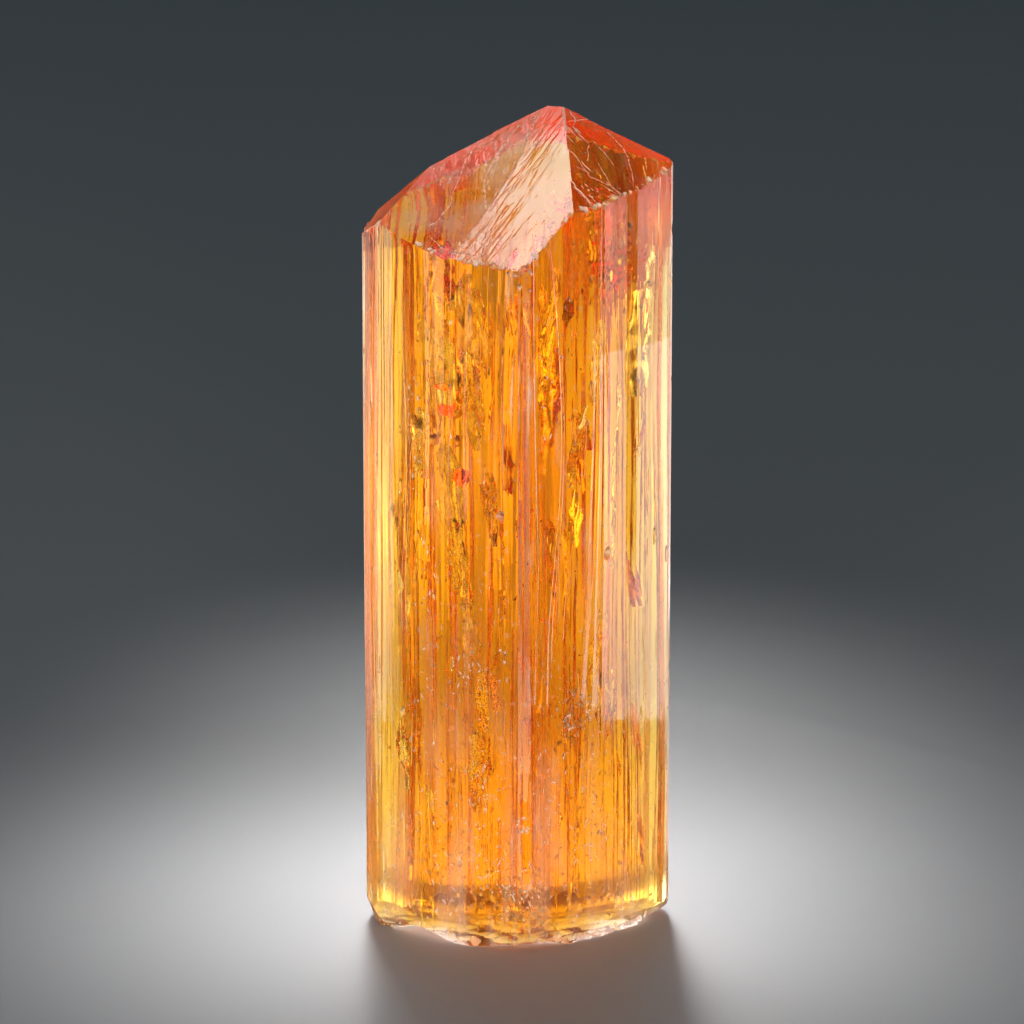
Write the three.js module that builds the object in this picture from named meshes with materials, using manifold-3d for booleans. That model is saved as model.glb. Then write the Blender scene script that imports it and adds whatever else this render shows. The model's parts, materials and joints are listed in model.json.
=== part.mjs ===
// A natural crystal of imperial topaz: a long striated prism, closed on top by four pyramid
// faces and two narrow dome faces, and broken off across its base, on which it stands.
//
// Topaz is orthorhombic. Its axes are the frame's axes: a along Y, b along X and c along +Z.
// Millimetres. The origin is on the resting plane, below the middle of the crystal.

import * as THREE from 'three';
import { mergeVertices } from 'three/addons/utils/BufferGeometryUtils.js';
import Module from 'manifold-3d';

const wasm = await Module();
wasm.setup();

// ---- Driving dimensions ---------------------------------------------------------------------

const AXIS_A = 0.5285;            // length of the a axis, with b = 1
const AXIS_C = 0.4770;            // length of the c axis, with b = 1

const PRISM_TOP = 46;             // the prism is made this tall, then cut by the termination
const PRISM_LEVELS = 12;          // heights at which the striations may change their width
const STEP_DEPTH = 0.10;          // mean length of the narrower of a striation's two facets
const MAX_STEPS = 14;             // most striations on one side of the prism
const STEP_WANDER = 0.45;         // share by which a striation widens and narrows on its way up

// Corners of the prism's mean outline, going round anticlockwise from the front edge.
const PRISM_CORNERS = [
  [-0.60, -6.60], [0.10, -6.48],                    // narrow flat on the front edge
  [4.25, -4.06], [4.74, -3.55], [5.11, -3.35],      // right front face, then a narrow step
  [7.60, -0.99], [8.22, -0.30],                     // right face, steeper
  [8.36, 0.12], [8.28, 0.72],                       // right edge
  [5.20, 3.55], [0.20, 6.50],                       // back right faces
  [-0.55, 6.60],                                    // back edge
  [-5.20, 3.86], [-7.70, 1.50],                     // back left faces
  [-8.18, 0.80], [-8.22, 0.20],                     // left edge
  [-7.19, -1.20], [-6.85, -1.62],                   // left face, steeper
  [-5.39, -3.22], [-4.31, -4.27],                   // left front faces
];

// Faces of the termination: Miller indices and the height at which each one cuts the c axis.
const PYRAMID_FRONT_LEFT = { hkl: [-1, -1, 1], height: 43.56 };
const PYRAMID_FRONT_RIGHT = { hkl: [-1, 1, 1], height: 45.92 };
const PYRAMID_BACK_LEFT = { hkl: [1, -1, 1], height: 44.50 };
const PYRAMID_BACK_RIGHT = { hkl: [1, 1, 1], height: 46.13 };
const DOME_LEFT = { hkl: [0, -2, 1], height: 46.03 };
const DOME_RIGHT = { hkl: [0, 2, 1], height: 49.76 };

// Growth layers on the pyramid faces. Each edge is a line down the face, as distances along the
// face (to the right, and up the slope) from the point where the face cuts the c axis. The face
// drops by the given depth on the named side of the line.
const LAYERS_FRONT_LEFT = [
  { drop: 0.04, side: -1, edge: [[0.95, 1.6], [0.91, -0.22], [0.57, -2.5], [0.13, -3.7],
    [-0.47, -6.1], [-1.4, -9.0]] },
  { drop: 0.09, side: -1, edge: [[0.1, 1.4], [-0.07, 0.45], [-0.44, -0.8], [-0.80, -2.4],
    [-0.82, -3.35], [-0.57, -4.2], [-0.9, -6.4], [-1.9, -9.0]] },
  { drop: 0.19, side: -1, edge: [[-1.9, 0.5], [-2.18, -1.4], [-2.60, -4.3], [-2.91, -5.9],
    [-3.6, -6.6], [-4.6, -8.5]] },
  { drop: 0.04, side: 1, edge: [[2.9, 1.5], [2.68, -0.4], [2.15, -2.65], [1.95, -4.2],
    [1.3, -6.3], [0.3, -9.2]] },
];
const LAYERS_FRONT_RIGHT = [
  { drop: 0.04, side: 1, edge: [[0.2, -3.2], [1.54, -4.5], [2.29, -6.3], [3.6, -8.4]] },
  { drop: 0.08, side: 1, edge: [[2.1, -2.5], [3.09, -4.0], [3.50, -4.9], [4.7, -7.6]] },
  { drop: 0.13, side: 1, edge: [[3.7, -2.8], [4.30, -4.2], [4.75, -5.3], [5.6, -7.4]] },
  { drop: 0.05, side: -1, edge: [[-0.6, -4.6], [0.57, -6.4], [1.3, -8.8]] },
];
const LAYERS_BACK_LEFT = [
  { drop: 0.07, side: 1, edge: [[0.4, 1.8], [0.9, -1.1], [0.6, -4.2], [1.3, -9.2]] },
  { drop: 0.14, side: 1, edge: [[2.6, 1.0], [3.1, -2.4], [3.0, -5.1], [3.9, -9.2]] },
];
const LAYERS_BACK_RIGHT = [
  { drop: 0.07, side: -1, edge: [[-0.2, 1.0], [-0.7, -2.2], [-0.5, -4.9], [-1.6, -9.2]] },
  { drop: 0.14, side: -1, edge: [[-2.9, 0.4], [-3.1, -3.3], [-4.0, -5.6], [-4.3, -9.2]] },
];
const CLEAR = 30;                 // further than the crystal reaches from any of its faces

// Furrows between the fine growth steps: they start along a line on the face and run down it
// side by side. `top` and `bottom` are the ends of the line, `run` a furrow's direction.
const FURROWS_FRONT_LEFT = {
  count: 15, top: [1.35, 0.3], bottom: [3.75, -5.6], run: [-0.34, -0.94], longest: 4.2,
  width: 0.20, depth: 0.09,
};
const FURROWS_FRONT_RIGHT = {
  count: 7, top: [1.0, -3.6], bottom: [5.6, -5.6], run: [0.42, -0.91], longest: 2.2,
  width: 0.16, depth: 0.08,
};

// Chips: the middle and radius of the lump that is bitten out. Its middle lies outside the face.
const BROKEN_FRONT_CORNER = [
  { at: [-0.35, -6.72, 37.35], radius: 0.62 },
  { at: [0.10, -6.72, 37.05], radius: 0.50 },
  { at: [-0.70, -6.66, 36.90], radius: 0.42 },
];
const FACE_PITS = [
  { at: [-1.44, -6.32, 16.33], radius: 0.50 },
  { at: [-1.54, -6.24, 24.07], radius: 0.38 },
  { at: [-0.36, -6.86, 7.14], radius: 0.52 },
  { at: [4.64, -3.92, 21.33], radius: 0.42 },
  { at: [-6.60, -2.32, 12.40], radius: 0.40 },
];
const EDGE_NOTCHES = [
  { at: [8.56, 0.14, 13.82], radius: 0.42 },
  { at: [8.54, 0.12, 19.60], radius: 0.30 },
  { at: [8.56, 0.07, 29.90], radius: 0.28 },
  { at: [8.50, 0.27, 38.20], radius: 0.50 },
  { at: [-8.42, 0.30, 31.80], radius: 0.30 },
  { at: [-8.40, 0.40, 17.90], radius: 0.30 },
  { at: [-0.60, 6.86, 26.20], radius: 0.46 },
  { at: [0.20, 6.80, 10.70], radius: 0.40 },
];
const RIM_CHIPS = 26;             // small chips along the rims of the termination
const RIM_CHIP_RADIUS = 0.34;

// Broken base: spots where the fracture rises from the resting plane, each with its middle,
// its radius and its rise.
const BASE_SPOTS = [
  { at: [-8.6, 0.5], radius: 1.5, rise: 1.9 },
  { at: [-6.1, -3.4], radius: 2.3, rise: 0.70 },
  { at: [-0.1, -7.6], radius: 3.2, rise: 0.80 },
  { at: [9.3, -0.4], radius: 3.6, rise: 0.85 },
  { at: [6.0, 4.0], radius: 1.8, rise: 0.70 },
  { at: [0.5, 7.0], radius: 2.6, rise: 0.90 },
  { at: [-5.8, 4.1], radius: 2.0, rise: 0.65 },
  { at: [1.9, 1.2], radius: 2.3, rise: 0.30 },
  { at: [-3.3, 0.6], radius: 1.9, rise: 0.22 },
];
const BASE_CELLS = 26;            // cells of the base's surface, each way
const BASE_SPAN = 19;             // width of the block that cuts the base

// ---- Tools ----------------------------------------------------------------------------------

// Repeatable random numbers from 0 to 1.
function randomNumbers(seed) {
  let state = seed;
  return () => {
    state = (state + 0x6d2b79f5) | 0;
    let t = Math.imul(state ^ (state >>> 15), 1 | state);
    t = (t + Math.imul(t ^ (t >>> 7), 61 | t)) ^ t;
    return ((t ^ (t >>> 14)) >>> 0) / 4294967296;
  };
}

// A closed three.js geometry as a solid that can be cut.
function solidFrom(geometry) {
  geometry.deleteAttribute('normal');
  geometry.deleteAttribute('uv');
  const merged = mergeVertices(geometry, 1e-4);
  return new wasm.Manifold(new wasm.Mesh({
    numProp: 3,
    vertProperties: new Float32Array(merged.attributes.position.array),
    triVerts: new Uint32Array(merged.index.array),
  }));
}

function geometryFrom(solid) {
  const mesh = solid.getMesh();
  const geometry = new THREE.BufferGeometry();
  geometry.setAttribute('position', new THREE.BufferAttribute(mesh.vertProperties, 3));
  geometry.setIndex(new THREE.BufferAttribute(mesh.triVerts, 1));
  return geometry;
}

// Outward direction of a crystal face with the given Miller indices.
function faceNormal([h, k, l]) {
  return new THREE.Vector3(k, h / AXIS_A, l / AXIS_C).normalize();
}

// The frame of a termination face: its origin is where the face cuts the c axis, its X runs
// level to the right as seen from outside, its Y runs up the slope and its Z points outwards.
function faceFrame({ hkl, height }) {
  const outward = faceNormal(hkl);
  const level = new THREE.Vector3(0, 0, 1).cross(outward).normalize();
  const upslope = outward.clone().cross(level);
  return new THREE.Matrix4().makeBasis(level, upslope, outward).setPosition(0, 0, height);
}

// ---- Striated prism -------------------------------------------------------------------------

// Directions in which the prism's faces run round the crystal: the front pinacoid, the three
// prisms (110), (120) and (130), the side pinacoid and their mirror images.
function prismDirections() {
  const quarter = [0, AXIS_A, 2 * AXIS_A, 3 * AXIS_A].map((slope) => Math.atan(slope));
  quarter.push(Math.PI / 2);
  const half = [...quarter, ...quarter.slice(1, -1).map((angle) => Math.PI - angle).reverse()];
  return [...half, ...half.map((angle) => angle - Math.PI)].sort((p, q) => p - q);
}

// One side of the prism, from corner `from` to corner `to`, as a stair of facets that follow
// the two nearest prism faces by turns. Calling the result with a height from 0 to 1 gives the
// points of the side at that height, without its last one.
function striatedSide(from, to, random) {
  const directions = prismDirections();
  const run = [to[0] - from[0], to[1] - from[1]];
  const angle = Math.atan2(run[1], run[0]);
  const next = directions.find((direction) => direction > angle) ?? Math.PI;
  const last = directions.filter((direction) => direction <= angle).pop();
  const a = [Math.cos(last), Math.sin(last)];
  const b = [Math.cos(next), Math.sin(next)];
  const scale = a[0] * b[1] - a[1] * b[0];
  const alongA = (run[0] * b[1] - run[1] * b[0]) / scale;
  const alongB = (a[0] * run[1] - a[1] * run[0]) / scale;
  const steps = Math.min(MAX_STEPS, Math.round(Math.min(alongA, alongB) / STEP_DEPTH));
  const stair = [];
  for (let i = 0; i < steps; i += 1) {
    for (const [direction, length] of [[a, alongA], [b, alongB]]) {
      const share = 0.2 + 1.6 * random() ** 2;
      stair.push({ direction, length, share, turn: 1 + 2 * random(), phase: 7 * random() });
    }
  }
  return (height) => {
    const points = [[...from]];
    const widths = stair.map((facet) => facet.share
      * (1 + STEP_WANDER * Math.sin(facet.phase + facet.turn * Math.PI * height)));
    const totals = [0, 1].map((kind) => widths.filter((_, i) => i % 2 === kind)
      .reduce((sum, width) => sum + width, 0));
    stair.slice(0, -1).forEach((facet, i) => {
      const [x, y] = points[points.length - 1];
      const length = facet.length * widths[i] / totals[i % 2];
      points.push([x + facet.direction[0] * length, y + facet.direction[1] * length]);
    });
    return points;
  };
}

function striatedPrism() {
  const random = randomNumbers(11);
  const sides = PRISM_CORNERS.map((corner, i) => (
    striatedSide(corner, PRISM_CORNERS[(i + 1) % PRISM_CORNERS.length], random)));
  const outlineAt = (height) => sides.flatMap((side) => side(height));
  const count = outlineAt(0).length;
  const prism = new THREE.CylinderGeometry(1, 1, PRISM_TOP, count, PRISM_LEVELS);
  prism.rotateX(Math.PI / 2);
  prism.translate(0, 0, PRISM_TOP / 2);
  const position = prism.attributes.position;
  for (let i = 0; i < position.count; i += 1) {
    const x = position.getX(i);
    const y = position.getY(i);
    const isCapCentre = Math.hypot(x, y) < 0.5;
    if (isCapCentre) continue;
    const outline = outlineAt(position.getZ(i) / PRISM_TOP);
    const turn = (Math.atan2(y, x) / (2 * Math.PI) + 1) % 1;
    const [outX, outY] = outline[Math.round(turn * count) % count];
    position.setXY(i, outX, outY);
  }
  return solidFrom(prism);
}

// ---- Termination ----------------------------------------------------------------------------

// All the space outside one termination face.
function outsideFace(face) {
  const block = new THREE.BoxGeometry(2 * CLEAR, 2 * CLEAR, CLEAR);
  block.translate(0, 0, CLEAR / 2);
  block.applyMatrix4(faceFrame(face));
  return solidFrom(block);
}

// The stuff above a growth layer, on one side of its edge.
function aboveLayer(face, { drop, side, edge }) {
  const far = CLEAR * side;
  const shape = new THREE.Shape([
    ...edge.map(([x, y]) => new THREE.Vector2(x, y)),
    new THREE.Vector2(far, edge[edge.length - 1][1]),
    new THREE.Vector2(far, edge[0][1]),
  ]);
  const block = new THREE.ExtrudeGeometry(shape, { depth: CLEAR, bevelEnabled: false });
  block.translate(0, 0, -drop);
  block.applyMatrix4(faceFrame(face));
  return solidFrom(block);
}

// Slender blocks with pointed ends that cut the furrows into a face.
function furrows(face, { count, top, bottom, run, longest, width, depth }, random) {
  return Array.from({ length: count }, (_, i) => {
    const along = (i + random()) / count;
    const x = top[0] + (bottom[0] - top[0]) * along;
    const y = top[1] + (bottom[1] - top[1]) * along;
    const length = longest * (0.35 + 0.65 * random());
    const half = width * (0.3 + 0.2 * random());
    const middle = [x + run[0] * length / 2, y + run[1] * length / 2];
    const shape = new THREE.Shape([
      new THREE.Vector2(x, y),
      new THREE.Vector2(middle[0] + half * run[1], middle[1] - half * run[0]),
      new THREE.Vector2(x + run[0] * length, y + run[1] * length),
      new THREE.Vector2(middle[0] - half * run[1], middle[1] + half * run[0]),
    ]);
    const block = new THREE.ExtrudeGeometry(shape, { depth: CLEAR, bevelEnabled: false });
    block.translate(0, 0, -depth);
    block.applyMatrix4(faceFrame(face));
    return solidFrom(block);
  });
}

// ---- Damage ---------------------------------------------------------------------------------

function chip({ at, radius }, random) {
  const lump = new THREE.IcosahedronGeometry(radius, 0);
  lump.scale(1, 1, 0.8 + 0.7 * random());
  lump.rotateX(Math.PI * random());
  lump.rotateZ(Math.PI * random());
  lump.translate(...at);
  return solidFrom(lump);
}

// Small chips along the rim where the front pyramid faces meet the prism.
function rimChips(random) {
  const rim = [...PRISM_CORNERS.slice(-4), ...PRISM_CORNERS.slice(0, 7)];
  const left = faceNormal(PYRAMID_FRONT_LEFT.hkl);
  const right = faceNormal(PYRAMID_FRONT_RIGHT.hkl);
  const path = new THREE.Path(rim.map(([x, y]) => new THREE.Vector2(x, y)));
  const chips = [];
  for (let i = 0; i < RIM_CHIPS; i += 1) {
    const { x, y } = path.getPointAt((i + random()) / RIM_CHIPS);
    const heights = [[left, PYRAMID_FRONT_LEFT], [right, PYRAMID_FRONT_RIGHT]]
      .map(([normal, face]) => face.height - (normal.x * x + normal.y * y) / normal.z);
    const radius = RIM_CHIP_RADIUS * (0.55 + 0.8 * random());
    const reach = 0.62 * radius;
    const out = new THREE.Vector2(x, y).normalize();
    const at = [x + out.x * reach, y + out.y * reach, Math.min(...heights) + reach];
    chips.push(chip({ at, radius }, random));
  }
  return chips;
}

// The broken base: everything under a surface that is level at height 0 but for the spots where
// flakes came off.
function belowBase() {
  const block = new THREE.BoxGeometry(BASE_SPAN, BASE_SPAN, CLEAR, BASE_CELLS, BASE_CELLS, 1);
  block.translate(0, 0, -CLEAR / 2);
  const position = block.attributes.position;
  for (let i = 0; i < position.count; i += 1) {
    const isUnderside = position.getZ(i) < -CLEAR / 2;
    if (isUnderside) continue;
    const x = position.getX(i);
    const y = position.getY(i);
    const rises = BASE_SPOTS.map(({ at, radius, rise }) => (
      rise * (1 - Math.hypot(x - at[0], y - at[1]) / radius)));
    position.setZ(i, Math.max(0, ...rises));
  }
  return solidFrom(block);
}

// ---- The crystal ----------------------------------------------------------------------------

function crystalSolid() {
  const random = randomNumbers(5);
  const cuts = [
    PYRAMID_FRONT_LEFT, PYRAMID_FRONT_RIGHT, PYRAMID_BACK_LEFT, PYRAMID_BACK_RIGHT,
    DOME_LEFT, DOME_RIGHT,
  ].map(outsideFace);
  for (const [face, layers] of [
    [PYRAMID_FRONT_LEFT, LAYERS_FRONT_LEFT], [PYRAMID_FRONT_RIGHT, LAYERS_FRONT_RIGHT],
    [PYRAMID_BACK_LEFT, LAYERS_BACK_LEFT], [PYRAMID_BACK_RIGHT, LAYERS_BACK_RIGHT],
  ]) {
    cuts.push(...layers.map((layer) => aboveLayer(face, layer)));
  }
  cuts.push(...furrows(PYRAMID_FRONT_LEFT, FURROWS_FRONT_LEFT, random));
  cuts.push(...furrows(PYRAMID_FRONT_RIGHT, FURROWS_FRONT_RIGHT, random));
  for (const damage of [BROKEN_FRONT_CORNER, FACE_PITS, EDGE_NOTCHES]) {
    cuts.push(...damage.map((bite) => chip(bite, random)));
  }
  cuts.push(...rimChips(random), belowBase());
  return cuts.reduce((solid, cut) => solid.subtract(cut), striatedPrism());
}

const geometry = geometryFrom(crystalSolid());
geometry.computeBoundingBox();
const { min, max } = geometry.boundingBox;
geometry.translate(-(min.x + max.x) / 2, -(min.y + max.y) / 2, -min.z);

const orangeTopaz = new THREE.MeshStandardMaterial({
  color: 0xd9822b,
  roughness: 0.12,
  metalness: 0,
  flatShading: true,
});

const crystal = new THREE.Mesh(geometry, orangeTopaz);
crystal.name = 'topaz_crystal';

const topaz = new THREE.Group();
topaz.add(crystal);

export default topaz;
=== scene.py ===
"""Looks of a natural topaz crystal: a striated, see-through orange prism with a stepped pyramidal
top, growth layers, chips, healed cracks and veils inside, standing on its broken base."""
import json
import math
import random

import bmesh
import bpy
from mathutils import Euler, Matrix, Vector, noise

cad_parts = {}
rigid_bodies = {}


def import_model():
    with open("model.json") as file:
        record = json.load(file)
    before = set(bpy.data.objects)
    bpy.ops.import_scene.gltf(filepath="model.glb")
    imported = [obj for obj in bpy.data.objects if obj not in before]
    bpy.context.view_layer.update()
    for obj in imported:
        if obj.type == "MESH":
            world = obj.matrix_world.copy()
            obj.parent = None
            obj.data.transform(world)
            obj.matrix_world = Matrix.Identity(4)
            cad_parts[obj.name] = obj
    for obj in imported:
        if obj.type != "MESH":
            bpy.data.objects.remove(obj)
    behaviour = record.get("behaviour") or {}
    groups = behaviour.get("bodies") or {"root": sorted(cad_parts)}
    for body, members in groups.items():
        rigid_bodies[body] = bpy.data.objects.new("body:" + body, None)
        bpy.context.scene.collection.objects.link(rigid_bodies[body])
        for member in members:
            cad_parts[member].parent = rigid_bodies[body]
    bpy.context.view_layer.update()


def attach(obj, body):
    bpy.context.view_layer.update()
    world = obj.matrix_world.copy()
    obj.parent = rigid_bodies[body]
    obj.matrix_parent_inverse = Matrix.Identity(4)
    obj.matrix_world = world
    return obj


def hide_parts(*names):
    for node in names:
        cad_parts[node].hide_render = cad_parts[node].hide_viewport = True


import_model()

MM = 0.001

# Kinds of surface. While the crystal is carved, each kind is a material, so that a cut keeps the
# kind of the tool that made it.
KINDS = ("grown", "worn", "broken", "healed", "dented")
GROWN, WORN, BROKEN, HEALED, DENTED = range(len(KINDS))
KIND_MARKS = [bpy.data.materials.new(kind) for kind in KINDS]

# ---- Crystal sizes, in millimetres -------------------------------------------------------------

AXIS_A = 0.5285                  # length of the a axis, with b = 1
AXIS_C = 0.4770                  # length of the c axis, with b = 1

PRISM_TOP = 46.0                 # the prism is made this tall, then cut by the termination
PRISM_LEVELS = 46                # heights at which the striations may change their width
STEP_DEPTH = 0.055               # mean length of the narrower of a striation's two facets
MAX_STEPS = 34                   # most striations on one side of the prism
STEP_WIDTHS = (0.15, 2.6, 3)     # their widths to each other: the least, the extra and its power
STEP_WANDER = 0.5                # share by which a striation widens and narrows on its way up
CALM = (0.44, 0.16)              # they fade downwards between these shares of the height
CALMED = 0.85                    # by how much they fade
SMOOTH_FROM = 5.5                # X from which on the sides are smooth, at the right
SMOOTHED = 0.8                   # by how much the striations fade there, at all heights

DEEP_FROM = 0.6                  # Y from which on the striations are deep, behind
DEEP_STEP = 0.10                 # the same as STEP_DEPTH, for the deep striations
DEEP_TURN = 0.30                 # least turn of their facets from the side that they make up
# Shares of the height over which they run out, for sides that start further right than this.
DEEP_TOPS = ((6.0, 0.77, 0.83), (0.1, 0.68, 0.76), (-9.0, 0.80, 0.85))
DEEP_CALMED = 0.97               # by how much they run out

# Corners of the prism's mean outline, going round anticlockwise from the front edge.
PRISM_CORNERS = [
    (-0.60, -6.60), (0.10, -6.48),                    # narrow flat on the front edge
    (4.25, -4.06), (4.74, -3.55), (5.11, -3.35),      # right front face, then a narrow step
    (5.58, -2.85), (5.95, -2.66),                     # right face, steeper, with a narrow ledge
    (7.60, -0.99), (8.22, -0.30),
    (8.36, 0.12), (8.28, 0.72),                       # right edge
    (5.20, 3.55), (0.20, 6.50),                       # back right faces
    (-0.55, 6.60),                                    # back edge
    (-5.20, 3.86), (-7.70, 1.50),                     # back left faces
    (-8.18, 0.80), (-8.22, 0.20),                     # left edge
    (-7.19, -1.20), (-6.85, -1.62),                   # left face, steeper
    (-5.39, -3.22), (-4.31, -4.27),                   # left front faces
]

# Faces of the termination: Miller indices and the height at which each one cuts the c axis.
FACES = {
    "front_left": ((-1, -1, 1), 43.56),
    "front_right": ((-1, 1, 1), 45.92),
    "back_left": ((1, -1, 1), 44.50),
    "back_right": ((1, 1, 1), 46.13),
    "dome_left": ((0, -2, 1), 46.03),
    "dome_right": ((0, 2, 1), 49.76),
}
RIDGE_BEVEL = 0.07               # the ridges between them are worn to about this width
RISING = 0.3                     # faces of the termination have normals that rise more than this

# Growth layers: how deep the face drops on the named side of an edge that runs down it, and by
# how many degrees the lower face leans away. The edge's points are distances along the face, to
# the right and up the slope, from the point where the face cuts the c axis.
LAYERS = {
    "front_left": [
        (0.03, 1.2, -1, [(1.25, 1.6), (0.91, -0.22), (0.71, -1.6), (0.57, -2.5), (0.13, -3.7),
                         (-0.21, -4.8), (-0.47, -6.1), (-1.2, -7.2), (-1.9, -9.0)]),
        (0.06, 1.2, -1, [(0.1, 1.4), (-0.07, 0.45), (-0.44, -0.8), (-0.80, -2.4), (-0.82, -3.35),
                         (-0.57, -4.2), (-0.26, -5.1), (-0.9, -6.4), (-1.9, -9.0)]),
        (0.13, 1.3, -1, [(-1.9, 0.5), (-2.18, -1.4), (-2.51, -3.6), (-2.65, -5.0), (-2.91, -5.9),
                         (-3.44, -6.3), (-4.6, -8.5)]),
        (0.03, 0.3, 1, [(2.9, 1.5), (2.68, -0.4), (2.15, -2.65), (1.95, -4.2), (1.3, -6.3),
                        (0.3, -9.2)]),
    ],
    "front_right": [
        (0.03, 0.2, 1, [(0.2, -3.2), (1.54, -4.5), (1.94, -5.5), (2.29, -6.3), (3.6, -8.4)]),
        (0.06, 0.3, 1, [(2.1, -2.5), (3.09, -4.0), (3.49, -4.7), (3.53, -5.4), (4.7, -7.6)]),
        (0.10, 0.4, 1, [(3.7, -2.8), (4.21, -3.5), (4.36, -4.6), (4.71, -5.2), (4.58, -6.0),
                        (4.25, -7.0), (4.2, -8.0)]),
        (0.04, 0.4, -1, [(-0.6, -4.6), (0.57, -6.4), (0.78, -7.0), (1.3, -8.8)]),
    ],
    "back_left": [
        (0.06, 0.5, 1, [(0.4, 1.8), (0.9, -1.1), (0.6, -4.2), (1.3, -9.2)]),
        (0.12, 0.8, 1, [(2.6, 1.0), (3.1, -2.4), (3.0, -5.1), (3.9, -9.2)]),
    ],
    "back_right": [
        (0.06, 0.5, -1, [(-0.2, 1.0), (-0.7, -2.2), (-0.5, -4.9), (-1.6, -9.2)]),
        (0.12, 0.8, -1, [(-2.9, 0.4), (-3.1, -3.3), (-4.0, -5.6), (-4.3, -9.2)]),
    ],
}
RISER = 1.2                      # how far a layer's edge slopes out for each millimetre of drop
CLEAR = 30.0                     # further than the crystal reaches from any of its faces
WALLS = 0.9                      # the walls of a layer have normals that rise less than this


# ---- Crystal directions ------------------------------------------------------------------------

def face_normal(indices):
    h, k, l = indices
    return Vector((k, h / AXIS_A, l / AXIS_C)).normalized()


def face_frame(name):
    """The frame of a termination face: X level to the right, Y up the slope, Z outwards."""
    indices, height = FACES[name]
    outward = face_normal(indices)
    level = Vector((0, 0, 1)).cross(outward).normalized()
    upslope = outward.cross(level)
    turned = Matrix((level, upslope, outward)).transposed().to_4x4()
    return Matrix.Translation((0, 0, height)) @ turned


def top_height(x, y):
    """Height of the termination above a point of the resting plane."""
    heights = []
    for indices, height in FACES.values():
        outward = face_normal(indices)
        heights.append(height - (outward.x * x + outward.y * y) / outward.z)
    return min(heights)


def prism_directions():
    """Directions in which the prism's faces run round the crystal, as sorted angles."""
    quarter = [math.atan(slope * AXIS_A) for slope in (0, 1, 2, 3)] + [math.pi / 2]
    half = quarter + [math.pi - angle for angle in reversed(quarter[1:-1])]
    return sorted(half + [angle - math.pi for angle in half])


def prism_sides():
    """The sides of the prism's mean outline, each as its two corners."""
    corners = [Vector(corner) for corner in PRISM_CORNERS]
    return list(zip(corners, corners[1:] + corners[:1]))


def skewed(rng, least, extra, power=2):
    """A random measure: the least one and an extra, which is seldom large if the power is high."""
    return least + extra * rng.random() ** power


def striated_side(start, end, rng):
    """A side of the prism as a stair of facets that follow the two nearest prism faces by
    turns. Returns a function from height, 0 to 1, to the side's points without its last."""
    run = end - start
    angle = math.atan2(run.y, run.x)
    deep = min(start.y, end.y) > DEEP_FROM
    smooth = min(start.x, end.x) > SMOOTH_FROM and not deep
    turn = DEEP_TURN if deep else 0
    before = max(way for way in prism_directions() if way <= angle - turn)
    after = min([way for way in prism_directions() if way > angle + turn], default=math.pi)
    a = Vector((math.cos(before), math.sin(before)))
    b = Vector((math.cos(after), math.sin(after)))
    scale = a.cross(b)
    along = (run.cross(b) / scale, a.cross(run) / scale)
    steps = min(MAX_STEPS, round(min(along) / (DEEP_STEP if deep else STEP_DEPTH)))
    # Each facet: which of the two faces it follows, its width, and the half turns and the phase of
    # its wander.
    stair = [
        (face, skewed(rng, *STEP_WIDTHS), 1 + 3 * rng.random(), 7 * rng.random())
        for _ in range(steps) for face in (0, 1)
    ]

    def points(height):
        widths = [
            share * (1 + STEP_WANDER * math.sin(phase + turns * math.pi * height))
            for _, share, turns, phase in stair
        ]
        totals = [sum(widths[0::2]), sum(widths[1::2])]
        spots = [start]
        for (face, *_), width in list(zip(stair, widths))[:-1]:
            spots.append(spots[-1] + (a, b)[face] * (along[face] * width / totals[face]))
        low, high = CALM
        if deep:
            low, high = next(tops for least, *tops in DEEP_TOPS if start.x > least)
        flat = min(1, max(0, (height - low) / (high - low))) * (DEEP_CALMED if deep else CALMED)
        if smooth:
            flat = max(flat, SMOOTHED)
        return [
            spot.lerp(start.lerp(end, i / len(spots)), flat)
            for i, spot in enumerate(spots)
        ]

    return points


# ---- The body of the crystal -------------------------------------------------------------------

def striated_prism():
    rng = random.Random(11)
    sides = [striated_side(start, end, rng) for start, end in prism_sides()]
    outlines = [
        [spot for side in sides for spot in side(level / PRISM_LEVELS)]
        for level in range(PRISM_LEVELS + 1)
    ]
    count = len(outlines[0])
    bm = bmesh.new()
    bmesh.ops.create_cone(bm, cap_ends=True, segments=count, radius1=1, radius2=1,
                          depth=PRISM_TOP)
    bmesh.ops.translate(bm, verts=bm.verts, vec=(0, 0, PRISM_TOP / 2))
    upright = [e for e in bm.edges if abs(e.verts[0].co.z - e.verts[1].co.z) > 1]
    bmesh.ops.subdivide_edges(bm, edges=upright, cuts=PRISM_LEVELS - 1)
    for vert in bm.verts:
        level = round(vert.co.z / PRISM_TOP * PRISM_LEVELS)
        turn = math.atan2(vert.co.y, vert.co.x) / math.tau
        vert.co.xy = outlines[level][round(turn * count) % count]
    bmesh.ops.recalc_face_normals(bm, faces=bm.faces)
    return bm


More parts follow.
